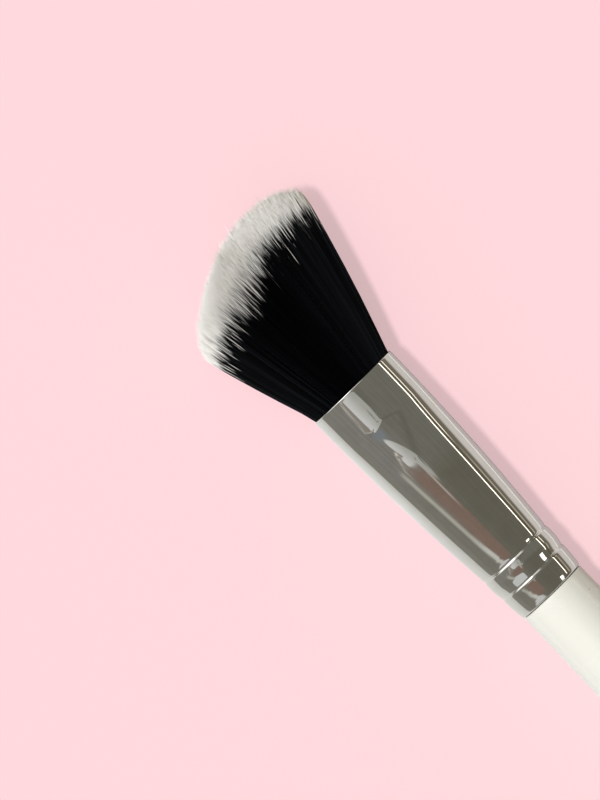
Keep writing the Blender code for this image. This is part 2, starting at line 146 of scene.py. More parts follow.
# Fibres: how far from its tip each turns from black to white
WHITE_LENGTH = 3.1 * MM
WHITE_FLANK_FALL = 0.9 * MM
WHITE_SHORT_SIDE_FALL = 0.9 * MM
WHITE_LONG_SIDE_FALL = 2.0 * MM
WHITE_EDGE_FALL = 1.8 * MM
WHITE_EDGE_POWER = 8
LOCK_WHITE_SCATTER = 0.55 * MM
FIBRE_WHITE_SCATTER = 1.15 * MM
SIDE_EVENNESS = 0.3
RISE_UNEVENNESS = 0.5
RISE_UNEVENNESS_POWER = 4
LONG_WHITE_SHARE = 0.05
LONG_WHITE_LENGTH = 2.8 * MM
LEAST_WHITE_INSIDE = 2.3 * MM
LEAST_WHITE_OUTSIDE = 0.2 * MM
LEAST_WHITE_POWER = 6
WHITE_TURN_HALF_LENGTH = 0.8 * MM
# The highest own number a middle fibre draws. Flank fibres draw up to 1, and high numbers give the painted
# sheen
PAINTED_SHEEN_MIDDLE_SHARE = 0.7
UV_SPAN = 76.0 * MM
UV_STRIP_SHARE = 0.04

# The dark middle of the tuft
CORE_REACH = 17.0 * MM
CORE_NECK_REACH = 14.0 * MM
CORE_SHARE = 0.74
CORE_NECK_SHARE = 0.55
CORE_RINGS = 14
CORE_SIDES = 48

# Bumps: how high each material's are
CHROME_WAVE_HEIGHT = 0.012 * MM
CHROME_DRAWN_HEIGHT = 0.0008 * MM
LACQUER_PEEL_HEIGHT = 0.0015 * MM
CORE_STRAND_HEIGHT = 0.05 * MM
THREAD_TWIST_HEIGHT = 0.05 * MM

# Floor: the card that it mirrors as, with each edge from its start to its end
FLOOR_REACH = 3000.0 * MM
FLOOR_GLOW_SHARE = 0.6
CARD_MIDDLE = (-3.0 * MM, 3.0 * MM)
CARD_TUFT_EDGE = (-36.0 * MM, -20.0 * MM)
# The card's painted shadow on the long side, and past it a thin line of painted light
CARD_LONG_SHADE_EDGE = (14.0 * MM, 20.0 * MM)
CARD_LONG_EDGE = (42.0 * MM, 100.0 * MM)
CARD_PAINTED_LIGHT_LINE = (20.3 * MM, 21.3 * MM, 0.3 * MM)
CARD_SHORT_SHADE_EDGE = (-46.0 * MM, -14.0 * MM)
CARD_SHORT_EDGE = (-62.0 * MM, -50.0 * MM)
# Where the floor's bounce turns darker and warmer towards the long side: painted shade
PAINTED_BOUNCE_SHADE_EDGE = (-5.0 * MM, 10.0 * MM)

# Light: the sky darkens from the short side to the long one, and a lamp stands nearly overhead
SKY_SIDE_FALL = (-0.7, 0.65)
SKY_FALL_SHARE = 0.97
KEY_STRENGTH = 0.70 * math.pi
KEY_SOFTNESS = math.radians(6)
KEY_ELEVATION = math.radians(76)
KEY_AHEAD = -0.12

GOLDEN_ANGLE = math.pi * (3 - math.sqrt(5))


# Helpers

def linear(red, green, blue):
    """A colour given in 8-bit screen values, as linear light."""
    def channel(value):
        value /= 255
        return value / 12.92 if value <= 0.04045 else ((value + 0.055) / 1.055) ** 2.4
    return (channel(red), channel(green), channel(blue))


def between(start, end, share):
    return start + share * (end - start)


def smooth(share):
    """A share that eases in and out."""
    return share * share * (3 - 2 * share)


def press_ease(share):
    """From 0 to 1, with a short rounded start and then a slope that dies away evenly."""
    if share < EASE_START_SHARE:
        return share ** 2 / EASE_START_SHARE
    return 1 - (1 - share) ** 2 / (1 - EASE_START_SHARE)


def curve_through(points, step):
    """Points a step apart along a smooth curve through the given (place, radius) points."""
    places, values = (np.array(column) for column in zip(*points))
    slopes = np.gradient(values, places)
    count = max(2, int(round((places[-1] - places[0]) / step)))
    found = np.linspace(places[0], places[-1], count + 1)
    i = np.clip(np.searchsorted(places, found, side="right") - 1, 0, len(places) - 2)
    width = places[i + 1] - places[i]
    t = (found - places[i]) / width
    result = ((2 * t**3 - 3 * t**2 + 1) * values[i] + (t**3 - 2 * t**2 + t) * width * slopes[i]
              + (3 * t**2 - 2 * t**3) * values[i + 1] + (t**3 - t**2) * width * slopes[i + 1])
    return list(zip(found, result))


def rounded_edge(size):
    """(distance past an end, inset from the side) round an edge, from its face to its side."""
    turns = [0.5 * math.pi * step / EDGE_STEPS for step in range(EDGE_STEPS + 1)]
    return [(size * (1 - math.cos(turn)), size * (1 - math.sin(turn))) for turn in turns]


def oval(place, half_width, half_depth, sides):
    angles = (2 * math.pi * step / sides for step in range(sides))
    return [(place, half_width * math.cos(a), half_depth * math.sin(a)) for a in angles]


def skin(name, rings, closed_loop=False):
    """A mesh over rings of equal count, which ends in caps or joins its last ring to its first."""
    sides = len(rings[0])
    vertices = [point for ring in rings for point in ring]
    count = len(rings)
    pairs = [(r, (r + 1) % count) for r in range(count if closed_loop else count - 1)]
    faces = []
    for first, second in pairs:
        for i in range(sides):
            j = (i + 1) % sides
            faces.append((first * sides + i, first * sides + j, second * sides + j, second * sides + i))
    if not closed_loop:
        faces.append(tuple(reversed(range(sides))))
        faces.append(tuple(range((count - 1) * sides, count * sides)))
    mesh = bpy.data.meshes.new(name)
    mesh.from_pydata(vertices, [], faces)
    mesh.shade_smooth()
    return mesh


def add_object(name, data):
    made = bpy.data.objects.new(name, data)
    bpy.context.scene.collection.objects.link(made)
    return made


def add_piece(name, mesh, finish, replaced):
    mesh.materials.append(finish)
    piece = add_object(name, mesh)
    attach(piece, "root")
    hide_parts(replaced)


def brush_matrix(record):
    """Turns the brush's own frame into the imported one, from the mount on the butt's flat."""
    mount = next(m for m in record["mounts"] if m["name"] == "butt_face")
    along = Vector(mount["axis"]).normalized()
    across = Vector((0.0, 1.0, 0.0))
    up = along.cross(across).normalized()
    mouth = Vector(mount["pos_m"]) - MOUTH_TO_BUTT * along
    matrix = Matrix((along, across, up)).transposed().to_4x4()
    matrix.translation = mouth
    return matrix


# Materials

class Shader:
    """A node tree that is written a node at a time."""

    def __init__(self, tree):
        self.tree = tree

    def put(self, socket, value):
        """Links a socket to another one, or sets it to a number, a vector or a colour."""
        if isinstance(value, bpy.types.NodeSocket):
            self.tree.links.new(value, socket)
        elif socket.type == "RGBA":
            socket.default_value = (*value, 1.0)
        else:
            socket.default_value = value

    def fill(self, node, inputs):
        """Puts each value in the node's input of that name or number."""
        for name, value in inputs.items():
            self.put(node.inputs[name], value)

    def node(self, kind, inputs=None, **settings):
        made = self.tree.nodes.new(kind)
        for name, value in settings.items():
            setattr(made, name, value)
        self.fill(made, inputs or {})
        return made

    def object_place(self):
        return self.node("ShaderNodeTexCoord").outputs["Object"]

    def split(self, vector):
        return self.node("ShaderNodeSeparateXYZ", {0: vector}).outputs

    def vector(self, *values):
        return self.node("ShaderNodeCombineXYZ", dict(enumerate(values))).outputs[0]

    def math(self, operation, *values):
        return self.node("ShaderNodeMath", dict(enumerate(values)), operation=operation).outputs[0]

    def stretched(self, vector, scale):
        return self.node("ShaderNodeMapping", {"Vector": vector, "Scale": scale}).outputs["Vector"]

    def noise(self, vector, scale, detail=3.0, roughness=0.5):
        inputs = {"Vector": vector, "Scale": scale, "Detail": detail, "Roughness": roughness}
        return self.node("ShaderNodeTexNoise", inputs).outputs["Fac"]

    def range(self, value, low, high, to_low=0.0, to_high=1.0, smoothed=True):
        inputs = {"Value": value, "From Min": low, "From Max": high, "To Min": to_low, "To Max": to_high}
        kind = "SMOOTHSTEP" if smoothed else "LINEAR"
        return self.node("ShaderNodeMapRange", inputs, interpolation_type=kind).outputs["Result"]

    def within(self, value, low, high, soft):
        """1 between low and high and 0 outside them, with soft edges."""
        return self.math("MULTIPLY", self.range(value, low - soft, low + soft),
                         self.range(value, high - soft, high + soft, 1.0, 0.0))

    def mix(self, share, first, second):
        return self.node("ShaderNodeMix", {0: share, 6: first, 7: second}, data_type="RGBA").outputs[2]

    def bump(self, height, strength, distance, normal=None):
        made = self.node("ShaderNodeBump", {"Height": height, "Strength": strength, "Distance": distance})
        if normal is not None:
            self.put(made.inputs["Normal"], normal)
        return made.outputs["Normal"]


def new_material(name):
    """A material with its shader tree and its Principled node."""
    made = bpy.data.materials.new(name)
    made.use_nodes = True
    return made, Shader(made.node_tree), made.node_tree.nodes["Principled BSDF"]


def make_chrome():
    made, shader, surface = new_material("chrome_plate")
    place = shader.object_place()
    waves = shader.noise(shader.stretched(place, (0.6, 1.0, 1.0)), 170.0, detail=1.5)
    drawn = shader.noise(shader.stretched(place, (0.05, 1.0, 1.0)), 2600.0, detail=2.0)
    haze = shader.noise(place, 420.0, detail=4.0, roughness=0.6)
    wavy = shader.bump(waves, 1.0, CHROME_WAVE_HEIGHT)
    shader.fill(surface, {
        "Metallic": 1.0,
        "Base Color": shader.mix(shader.range(haze, 0.3, 0.7), (0.70, 0.685, 0.65), (0.74, 0.725, 0.69)),
        "Roughness": shader.range(haze, 0.35, 0.75, 0.035, 0.07),
        "Normal": shader.bump(drawn, 0.25, CHROME_DRAWN_HEIGHT, wavy)})
    return made


def make_lacquer():
    made, shader, surface = new_material("white_lacquer")
    place = shader.object_place()
    cloud = shader.noise(place, 90.0)
    peel = shader.noise(place, 700.0, detail=1.0)
    specks = shader.noise(place, 1500.0, detail=1.0)
    cream = shader.mix(shader.range(cloud, 0.3, 0.7), (0.872, 0.867, 0.798), (0.882, 0.88, 0.815))
    dusty = shader.range(specks, 0.80, 0.84)
    shader.fill(surface, {
        "Base Color": shader.mix(dusty, cream, (0.45, 0.42, 0.37)),
        "Roughness": shader.range(cloud, 0.3, 0.7, 0.26, 0.29),
        "Coat Weight": 1.0,
        "Coat Roughness": 0.025,
        "Normal": shader.bump(peel, 0.25, LACQUER_PEEL_HEIGHT)})
    return made


def make_fibre():
    """Black to white along each fibre. The map's V runs along it and turns white at one half,
    and U is a number of its own, so that the fibres differ a little. A high number also turns
    the black a grey-blue, a painted sheen."""
    made, shader, surface = new_material("two_tone_fibre")
    own, along, _ = shader.split(shader.node("ShaderNodeUVMap", uv_map="OFBake").outputs["UV"])
    half_turn = WHITE_TURN_HALF_LENGTH / UV_SPAN
    white = shader.range(along, 0.5 - half_turn, 0.5 + half_turn)
    # Painted sheen: fibres with a high own number are grey-blue instead of black
    painted_sheen_share = shader.math("POWER", own, 4.0)
    ink_and_painted_sheen = shader.mix(painted_sheen_share, (0.0005, 0.0006, 0.0007), (0.024, 0.028, 0.036))
    milk = shader.mix(own, (0.91, 0.895, 0.86), (0.955, 0.94, 0.91))
    shader.fill(surface, {
        "Base Color": shader.mix(white, ink_and_painted_sheen, milk),
        "Roughness": shader.range(white, 0.0, 1.0, 0.42, 0.62, smoothed=False),
        "Specular IOR Level": 0.1})
    return made


def make_core():
    made, shader, surface = new_material("fibre_core")
    strands = shader.noise(shader.stretched(shader.object_place(), (0.04, 1.0, 1.0)), 5200.0, detail=2.0)
    shader.fill(surface, {
        "Base Color": shader.mix(strands, (0.002, 0.002, 0.003), (0.008, 0.008, 0.010)),
        "Roughness": 0.8,
        "Normal": shader.bump(strands, 0.6, CORE_STRAND_HEIGHT)})
    return made


def make_glue(name, scale, dark, pale, roughness):
    """A set glue with clouds from dark to pale in it, and from one roughness to the other."""
    made, shader, surface = new_material(name)
    cloud = shader.noise(shader.object_place(), scale)
    shader.fill(surface, {
        "Base Color": shader.mix(cloud, dark, pale),
        "Roughness": shader.range(cloud, 0.2, 0.8, *roughness)})
    return made


def make_thread():
    made, shader, surface = new_material("cotton_thread")
    twist = shader.noise(shader.stretched(shader.object_place(), (3.0, 1.0, 1.0)), 3500.0)
    shader.fill(surface, {
        "Base Color": shader.mix(twist, (0.58, 0.52, 0.40), (0.82, 0.78, 0.68)),
        "Roughness": 0.9,
        "Normal": shader.bump(twist, 0.8, THREAD_TWIST_HEIGHT)})
    return made


def finish_cad_nodes(nodes):
    """Better materials for the CAD pieces that stay."""
    finishes = {
        "root_plug": make_glue("amber_epoxy", 500.0, (0.42, 0.30, 0.13), (0.62, 0.47, 0.24), (0.2, 0.4)),
        "binding_thread": make_thread(),
        "tenon_glue": make_glue("dried_glue", 700.0, (0.70, 0.64, 0.48), (0.86, 0.81, 0.67), (0.35, 0.6))}
    for name, finish in finishes.items():
        for slot in nodes[name].material_slots:
            slot.material = finish


# Ferrule and handle

def oval_halves(place):
    """Half width and half depth of the ferrule from its mouth to its neck."""
    half_width = between(MOUTH_HALF_WIDTH, NECK_RADIUS, (place / NECK_PLACE) ** 2)
    if place < PRESSED_LENGTH:
        half_depth = MOUTH_HALF_DEPTH - MOUTH_DIP * (1 - place / PRESSED_LENGTH) ** 2
    elif place < BARREL_PLACE:
        share = press_ease((place - PRESSED_LENGTH) / (BARREL_PLACE - PRESSED_LENGTH))
        half_depth = between(MOUTH_HALF_DEPTH, BARREL_HALF_DEPTH, share)
    else:
        share = ((place - BARREL_PLACE) / (NECK_PLACE - BARREL_PLACE)) ** 2
        half_depth = between(BARREL_HALF_DEPTH, NECK_RADIUS, share)
    return half_width, half_depth


def ferrule_stations():
    """(place, half width, half depth) down the ferrule's outside, from behind its rounded rim."""
    count = int(NECK_PLACE / OVAL_STEP)
    stations = []
    for step in range(1, count):
        place = NECK_PLACE * step / count
        stations.append((place, *oval_halves(place)))
    crimps = [(FERRULE_LENGTH - back * MM, radius * MM) for back, radius in CRIMP_POINTS]
    for place, radius in curve_through(crimps, CRIMP_STEP):
        stations.append((place, radius, radius))
    return stations


def make_ferrule(chrome, matrix):
    """A tube: its rounded rim, its outside, and then its inside back to the mouth."""
    half_width, half_depth = oval_halves(0.0)
    rim = [(place, half_width - inset, half_depth - inset) for place, inset in rounded_edge(RIM_ROUND)]
    outside = ferrule_stations()
    inside = [(place, width - FERRULE_WALL, depth - FERRULE_WALL)
              for place, width, depth in outside[::-INSIDE_RING_STEP]]
    rings = [oval(*station, FERRULE_SIDES) for station in rim + outside + inside]
    mesh = skin("ferrule_tube", rings, closed_loop=True)
    mesh.transform(matrix)
    mesh.flip_normals()
    add_piece("ferrule_tube", mesh, chrome, "ferrule")


def handle_stations():
    """(place, radius) of the handle's outside, from its shoulder to its butt."""
    shoulder = FERRULE_LENGTH + HANDLE_GAP
    stations = [(shoulder + past, SHOULDER_RADIUS - inset) for past, inset in rounded_edge(SHOULDER_ROUND)]
    for start, end in (((shoulder + SHOULDER_ROUND, SHOULDER_RADIUS), (SWELL_PLACE, SWELL_RADIUS)),
                       ((SWELL_PLACE, SWELL_RADIUS), (BUTT_PLACE, BUTT_RADIUS))):
        count = int((end[0] - start[0]) / HANDLE_STEP)
        for step in range(1, count + 1):
            share = step / count
            stations.append((between(start[0], end[0], share), between(start[1], end[1], smooth(share))))
    for step in range(1, BUTT_STEPS + 1):
        turn = 0.5 * math.pi * step / BUTT_STEPS
        stations.append((BUTT_PLACE + (MOUTH_TO_BUTT - BUTT_PLACE) * math.sin(turn),
                         BUTT_FLAT_RADIUS + (BUTT_RADIUS - BUTT_FLAT_RADIUS) * math.cos(turn)))
    return stations


def make_handle(lacquer, matrix):
    rings = [oval(place, radius, radius, HANDLE_SIDES) for place, radius in handle_stations()]
    mesh = skin("handle_turned", rings)
    mesh.transform(matrix)
    add_piece("handle_turned", mesh, lacquer, "handle")


# Fibres

def splayed(start, spread_share, curl_share, reach):
    """A half size of the tuft at a reach past the mouth, where it splays and curls back a little."""
    past = np.maximum(reach, 0.0)
    return start + spread_share * past * (1 - curl_share * past / TUFT_LENGTH)


def half_width_at(reach):
    start = MOUTH_HALF_WIDTH - FERRULE_WALL - MOUTH_CLEARANCE - FIBRE_RADIUS
    return splayed(start, WIDTH_SPREAD_SHARE, WIDTH_CURL_SHARE, reach)


def half_depth_at(reach):
    start = MOUTH_HALF_DEPTH - MOUTH_DIP - FERRULE_WALL - MOUTH_CLEARANCE - FIBRE_RADIUS
    return splayed(start, DEPTH_SPREAD_SHARE, DEPTH_CURL_SHARE, reach)


def tuft_length(side, rise):
    """How far the tuft reaches past the mouth, on its domed and slanted end."""
    across = np.interp(side, OUTLINE_SIDE_SHARES, OUTLINE_LENGTH_SHARES)
    return TUFT_LENGTH * across * np.sqrt(1 - DOME_FALL_SHARE * rise ** 2)


def nearest_locks(side, rise, rng):
    """Each fibre's lock, and every lock's own place over the mouth."""
    spread = np.sqrt(rng.random(LOCK_COUNT))
    turn = rng.random(LOCK_COUNT) * 2 * math.pi
    places = np.stack((spread * np.cos(turn), spread * np.sin(turn)), axis=1)
    tree = kdtree.KDTree(LOCK_COUNT)
    for i, (x, y) in enumerate(places):
        tree.insert((x, y, 0.0), i)
    tree.balance()
    found = [tree.find((x, y, 0.0))[1] for x, y in zip(side, rise)]
    return np.array(found), places


def fibre_mesh(name, centres, radii, turns, own, along):
    """One mesh of closed spikes. centres holds (fibres, stations, 3) points, tip last. Each fibre
    has a narrow strip of the map, placed by its own number."""
    fibres, stations, _ = centres.shape
    angles = turns[:, None] + 2 * math.pi * np.arange(FIBRE_SIDES) / FIBRE_SIDES
    spokes = np.stack((np.zeros_like(angles), np.cos(angles), np.sin(angles)), axis=2)
    rings = centres[:, :-1, None, :] + radii[:, :-1, None, None] * spokes[:, None]
    points = np.concatenate((rings.reshape(fibres, -1, 3), centres[:, -1:]), axis=1)
    each = points.shape[1]
    base = (np.arange(fibres) * each)[:, None, None]
    ring = np.arange(stations - 2)[:, None] * FIBRE_SIDES
    corner = np.arange(FIBRE_SIDES)[None]
    following = (corner + 1) % FIBRE_SIDES
    quads = np.stack((ring + corner, ring + FIBRE_SIDES + corner,
                      ring + FIBRE_SIDES + following, ring + following), axis=-1)
    quads = (base[..., None] + quads[None]).reshape(-1, 4)
    last = (stations - 2) * FIBRE_SIDES
    tips = np.stack((last + corner[0], np.full(FIBRE_SIDES, each - 1), last + following[0]), axis=-1)
    tips = (base + tips[None]).reshape(-1, 3)
    roots = (base[:, 0] + corner).reshape(-1, 3)
    mesh = bpy.data.meshes.new(name)
    mesh.from_pydata(points.reshape(-1, 3).tolist(), [], quads.tolist() + tips.tolist() + roots.tolist())
    around = np.arange(FIBRE_SIDES) / (FIBRE_SIDES - 1)
    strip = UV_STRIP_SHARE * np.append(np.tile(around, stations - 1), 0.5)
    across = (1 - UV_STRIP_SHARE) * own[:, None] + strip[None]
    up = np.concatenate((np.repeat(along[:, :-1], FIBRE_SIDES, axis=1), along[:, -1:]), axis=1)
    corners = np.empty(len(mesh.loops), np.int64)
    mesh.loops.foreach_get("vertex_index", corners)
    layer = mesh.uv_layers.new(name="OFBake")
    layer.data.foreach_set("uv", np.stack((across.ravel(), up.ravel()), axis=1)[corners].ravel())
    return mesh


def plan_fibres(rng):
    """Every fibre's place over the mouth, length, white length, lock and own number. The draws
    come in a fixed order, so that the tuft is the same each time."""
    index = np.arange(FIBRE_COUNT)
    spread = np.sqrt((index + 0.5) / FIBRE_COUNT)
    turn = index * GOLDEN_ANGLE
    side = spread * np.cos(turn)
    rise = spread * np.sin(turn)
    lock, places = nearest_locks(side, rise, rng)
    lock_white = rng.normal(0.0, LOCK_WHITE_SCATTER, LOCK_COUNT)[lock]
    length = tuft_length(side, rise)
    length = length + rng.normal(0.0, TIP_SCATTER, FIBRE_COUNT)
    stray = rng.random(FIBRE_COUNT) < STRAY_SHARE
    length = length - np.where(stray, rng.random(FIBRE_COUNT) * STRAY_LENGTH, 0.0)
    side_fall = np.where(side > 0, WHITE_LONG_SIDE_FALL, WHITE_SHORT_SIDE_FALL)
    side_fall = side_fall * np.sin(math.pi * side) ** 2
    edge_fall = WHITE_EDGE_FALL * side ** WHITE_EDGE_POWER
    white = WHITE_LENGTH - WHITE_FLANK_FALL * rise ** 2 - side_fall - edge_fall
    unevenness = 1 - SIDE_EVENNESS * side ** 2 + RISE_UNEVENNESS * rise ** RISE_UNEVENNESS_POWER
    scatter = FIBRE_WHITE_SCATTER * unevenness
    white = white + lock_white + rng.normal(0.0, 1.0, FIBRE_COUNT) * scatter
    far_reaching = rng.random(FIBRE_COUNT) < LONG_WHITE_SHARE
    white = white + np.where(far_reaching, rng.random(FIBRE_COUNT) * LONG_WHITE_LENGTH, 0.0)
    white = np.maximum(white, between(LEAST_WHITE_INSIDE, LEAST_WHITE_OUTSIDE, rise ** LEAST_WHITE_POWER))
    # Flank fibres may draw higher numbers than middle ones, so the painted sheen lies mostly on the
    # flanks, and their white runs a little paler too
    own = rng.random(FIBRE_COUNT) * between(PAINTED_SHEEN_MIDDLE_SHARE, 1.0, side ** 2)
    return {"side": side, "rise": rise, "spread": spread, "turn": turn, "lock": lock, "places": places,
            "length": length, "white": white, "own": own}


def fibre_lines(plan, chosen, stations, rng):
    """The chosen fibres' centre lines, as (fibres, stations, 3) points, and their reaches. Outer
    fibres start at the slice of glue, and inner ones further up, where the outer ones hide them."""
    length = plan["length"][chosen][:, None]
    outer = plan["spread"][chosen][:, None] > OUTER_SHARE
    start = np.where(outer, -SLICE_PLACE, length - INNER_REACH)
    reach = start + (length - start) * np.array(stations)[None]
    share = np.clip(reach / TUFT_LENGTH, 0.0, 1.0)
    target = plan["places"][plan["lock"][chosen]]
    pull = LOCK_PULL_SHARE * share ** 2
    side = between(plan["side"][chosen][:, None], target[:, :1], pull)
    rise = between(plan["rise"][chosen][:, None], target[:, 1:], pull)
    wander = rng.normal(0.0, WANDER, (len(length), 2))[:, None] * (share ** WANDER_POWER)[..., None]
    y = side * half_width_at(reach) + wander[..., 0]
    z = rise * half_depth_at(reach) + wander[..., 1]
    return np.stack((-reach, y, z), axis=2), reach


def to_floor(points, matrix):
    """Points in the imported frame, with none lower than the floor lets a fibre lie."""
    turned = points @ np.array(matrix.to_3x3()).T + np.array(matrix.translation)
    turned[..., 2] = np.maximum(turned[..., 2], FLOOR_CLEARANCE)
    return turned


def make_fibres(finish, matrix):
    rng = np.random.default_rng(SEED)
    plan = plan_fibres(rng)
    outer = plan["spread"] > OUTER_SHARE
    number = 0
    for group, stations in ((outer, OUTER_STATIONS), (~outer, INNER_STATIONS)):
        members = np.flatnonzero(group)
        for first in range(0, len(members), FIBRES_PER_PIECE):
            chosen = members[first:first + FIBRES_PER_PIECE]
            centres, reach = fibre_lines(plan, chosen, stations, rng)
            length = plan["length"][chosen][:, None]
            taper = np.clip((length - reach) / TAPER_LENGTH, 0.0, 1.0) ** TAPER_POWER
            thick = FIBRE_RADIUS * rng.uniform(*FIBRE_THICKNESS_SHARES, len(chosen))[:, None]
            radii = thick * between(FIBRE_TIP_SHARE, 1.0, taper)
            along = 0.5 + (reach - length + plan["white"][chosen][:, None]) / UV_SPAN
            number += 1
            name = f"fibres_{number}"
            mesh = fibre_mesh(name, to_floor(centres, matrix), radii, plan["turn"][chosen],
                              plan["own"][chosen], along)
            add_piece(name, mesh, finish, "bristle_tuft")


def make_core_mass(finish, matrix):
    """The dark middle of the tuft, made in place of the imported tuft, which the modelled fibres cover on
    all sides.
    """
    rings = []
    for reach in np.linspace(-SLICE_PLACE - SLICE_THICKNESS, CORE_REACH, CORE_RINGS):
        share = CORE_SHARE if reach < CORE_NECK_REACH else CORE_NECK_SHARE
        halves = (share * float(half_width_at(reach)), share * float(half_depth_at(reach)))
        rings.append(oval(-reach, *halves, CORE_SIDES))
    mesh = skin("fibre_core", rings[::-1])
    mesh.transform(matrix)
    add_piece("fibre_core", mesh, finish, "bristle_tuft")


# Stage, light and camera

def glossy_sky(shader, direction):
    """What metal and lacquer mirror: a dim room with a thin lamp low on the long side, a pale panel
    and a reddish wall on the short side, a window past the handle and a bright wall past the tuft.
    A direction has a lean, from straight up towards the long side, and a reach ahead, towards the
    handle, both in degrees."""
    x, y, z = shader.split(direction)
    lean = shader.math("DEGREES", shader.math("ARCTAN2", y, z))
    ahead = shader.math("DEGREES", shader.math("ARCSINE", x))
    heading = shader.vector(lean, ahead, 0.0)

    def grain(across, along, detail=3.0):
        return shader.noise(shader.stretched(heading, (across, along, 1.0)), 1.0, detail=detail)

    def tilted(middle, tilt):
        """How far ahead of the middle a direction lies, and its lean with the tilt taken off."""
        past = shader.math("SUBTRACT", ahead, middle)
        return past, shader.math("SUBTRACT", lean, shader.math("MULTIPLY", past, tilt))

    def patch(colour, below, leans, aheads, tilt=0.0, share=1.0):
        """A patch laid over the rest, between two leans and two reaches, each given with how soft
        its edges are. Tilt is how many degrees of lean it gains with each degree ahead."""
        _, level = tilted(0.5 * (aheads[0] + aheads[1]), tilt)
        inside = shader.math("MULTIPLY", shader.within(level, *leans), shader.within(ahead, *aheads))
        return shader.mix(shader.math("MULTIPLY", inside, share), below, colour)

    def lens(colour, below, leans, aheads, tilt, soft, power=2.0):
        """An oval patch, given by its middle and its half size each way. A higher power squares it."""
        past, level = tilted(aheads[0], tilt)
        high = shader.math("DIVIDE", shader.math("SUBTRACT", level, leans[0]), leans[1])
        wide = shader.math("DIVIDE", past, aheads[1])
        reach = shader.math("ADD", shader.math("POWER", shader.math("ABSOLUTE", high), power),
                            shader.math("POWER", shader.math("ABSOLUTE", wide), power))
        return shader.mix(shader.range(reach, 1 - soft, 1 + soft, 1.0, 0.0), below, colour)

    # The room itself, darker ahead and on the long side, with faint streaks
    downhill = shader.range(lean, -60.0, 20.0)
    far = shader.mix(downhill, (0.258, 0.252, 0.222), (0.16, 0.151, 0.123))
    near = shader.mix(downhill, (0.275, 0.268, 0.253), (0.202, 0.20, 0.172))
    room = shader.mix(shader.range(ahead, 3.0, 6.0), near, far)
    room = shader.mix(shader.range(grain(0.22, 0.03), 0.3, 0.7, 0.0, 0.3), room, (0.12, 0.115, 0.09))

    # Low on the long side: a dim wall with a dark band, and two thin lines of light at its foot
    room = patch((0.17, 0.15, 0.115), room, (77.0, 130.0, 3.0), (-60.0, 60.0, 10.0))
    room = patch((0.12, 0.105, 0.075), room, (79.5, 84.0, 1.0), (-60.0, 60.0, 10.0))
    room = patch((1.8, 1.7, 1.5), room, (84.4, 86.6, 0.8), (-6.0, 3.6, 1.0))
    room = patch((0.55, 0.52, 0.43), room, (86.5, 90.5, 1.0), (5.0, 17.0, 1.5))

    # Nearly overhead: a faint dark slant
    room = patch((0.14, 0.14, 0.12), room, (4.0, 19.0, 7.0), (-13.0, 4.0, 2.0), tilt=-2.6, share=0.55)

    # On the short side: the reddish wall and its foot, pale strips round it, and a bluish spot
    ragged = shader.range(grain(0.55, 0.05), 0.38, 0.60, 0.25, 1.0)
    fading = shader.range(ahead, -1.2, 0.2, 1.0, 0.45)
    room = patch((0.275, 0.172, 0.14), room, (-45.0, -9.0, 2.5), (3.4, 15.6, 1.4), share=ragged)
    room = patch((0.46, 0.385, 0.345), room, (-38.5, -26.0, 2.0), (-4.2, 3.4, 1.2), tilt=-2.1,
                 share=shader.math("MULTIPLY", ragged, fading))
    room = patch((0.48, 0.44, 0.40), room, (-14.5, -10.5, 1.5), (3.5, 8.0, 1.2))
    room = patch((0.50, 0.49, 0.44), room, (-60.0, -51.0, 4.0), (3.2, 11.6, 1.2), tilt=1.1)
    room = patch((0.66, 0.66, 0.63), room, (-49.0, -38.0, 3.0), (11.0, 15.5, 1.0), tilt=3.2)
    room = patch((0.24, 0.26, 0.28), room, (-44.0, -18.0, 6.0), (-16.0, -9.5, 2.0))

    # The pale panel, with two dark notches and a broken line of light under it
    panel = shader.mix(shader.range(lean, -35.0, -7.0), (0.74, 0.745, 0.75), (0.46, 0.47, 0.44))
    room = lens(panel, room, (-21.0, 13.0), (0.9, 2.3), 0.0, 0.25, power=4.0)
    room = lens(panel, room, (-17.0, 10.0), (-2.2, 7.5), 1.5, 0.18)
    room = patch((0.10, 0.10, 0.085), room, (-4.8, -2.9, 0.5), (1.7, 3.85, 0.3), tilt=-0.85)
    room = patch((0.14, 0.14, 0.12), room, (-13.0, -10.5, 0.6), (1.5, 2.3, 0.25), tilt=-2.5)
    broken = shader.range(grain(0.35, 0.8, detail=2.0), 0.42, 0.58, 0.1, 1.0)
    room = patch((0.80, 0.77, 0.71), room, (-43.0, -38.0, 1.8), (-4.2, 3.8, 0.8), tilt=-2.1,
                 share=shader.math("MULTIPLY", broken, fading))

    # Past the tuft: the bright wall, brightest on the short side
    room = patch((0.85, 0.84, 0.80), room, (-75.0, 25.0, 8.0), (-80.0, -26.0, 5.0))
    room = patch((1.5, 1.5, 1.45), room, (-85.0, -35.0, 8.0), (-80.0, -22.0, 5.0))
    room = patch((2.6, 2.6, 2.6), room, (-46.0, -12.0, 6.0), (-80.0, -24.0, 5.0))

    # A pale oval past the handle, then the lamp's long line, and the window past the handle
    room = lens((0.66, 0.68, 0.68), room, (-44.0, 24.0), (24.5, 10.0), 0.0, 0.15)
    room = patch((3.6, 3.35, 2.9), room, (74.2, 76.3, 0.5), (-20.0, 16.0, 2.0))
    return patch((3.4, 3.3, 3.1), room, (49.0, 60.0, 1.5), (15.8, 26.0, 0.5))


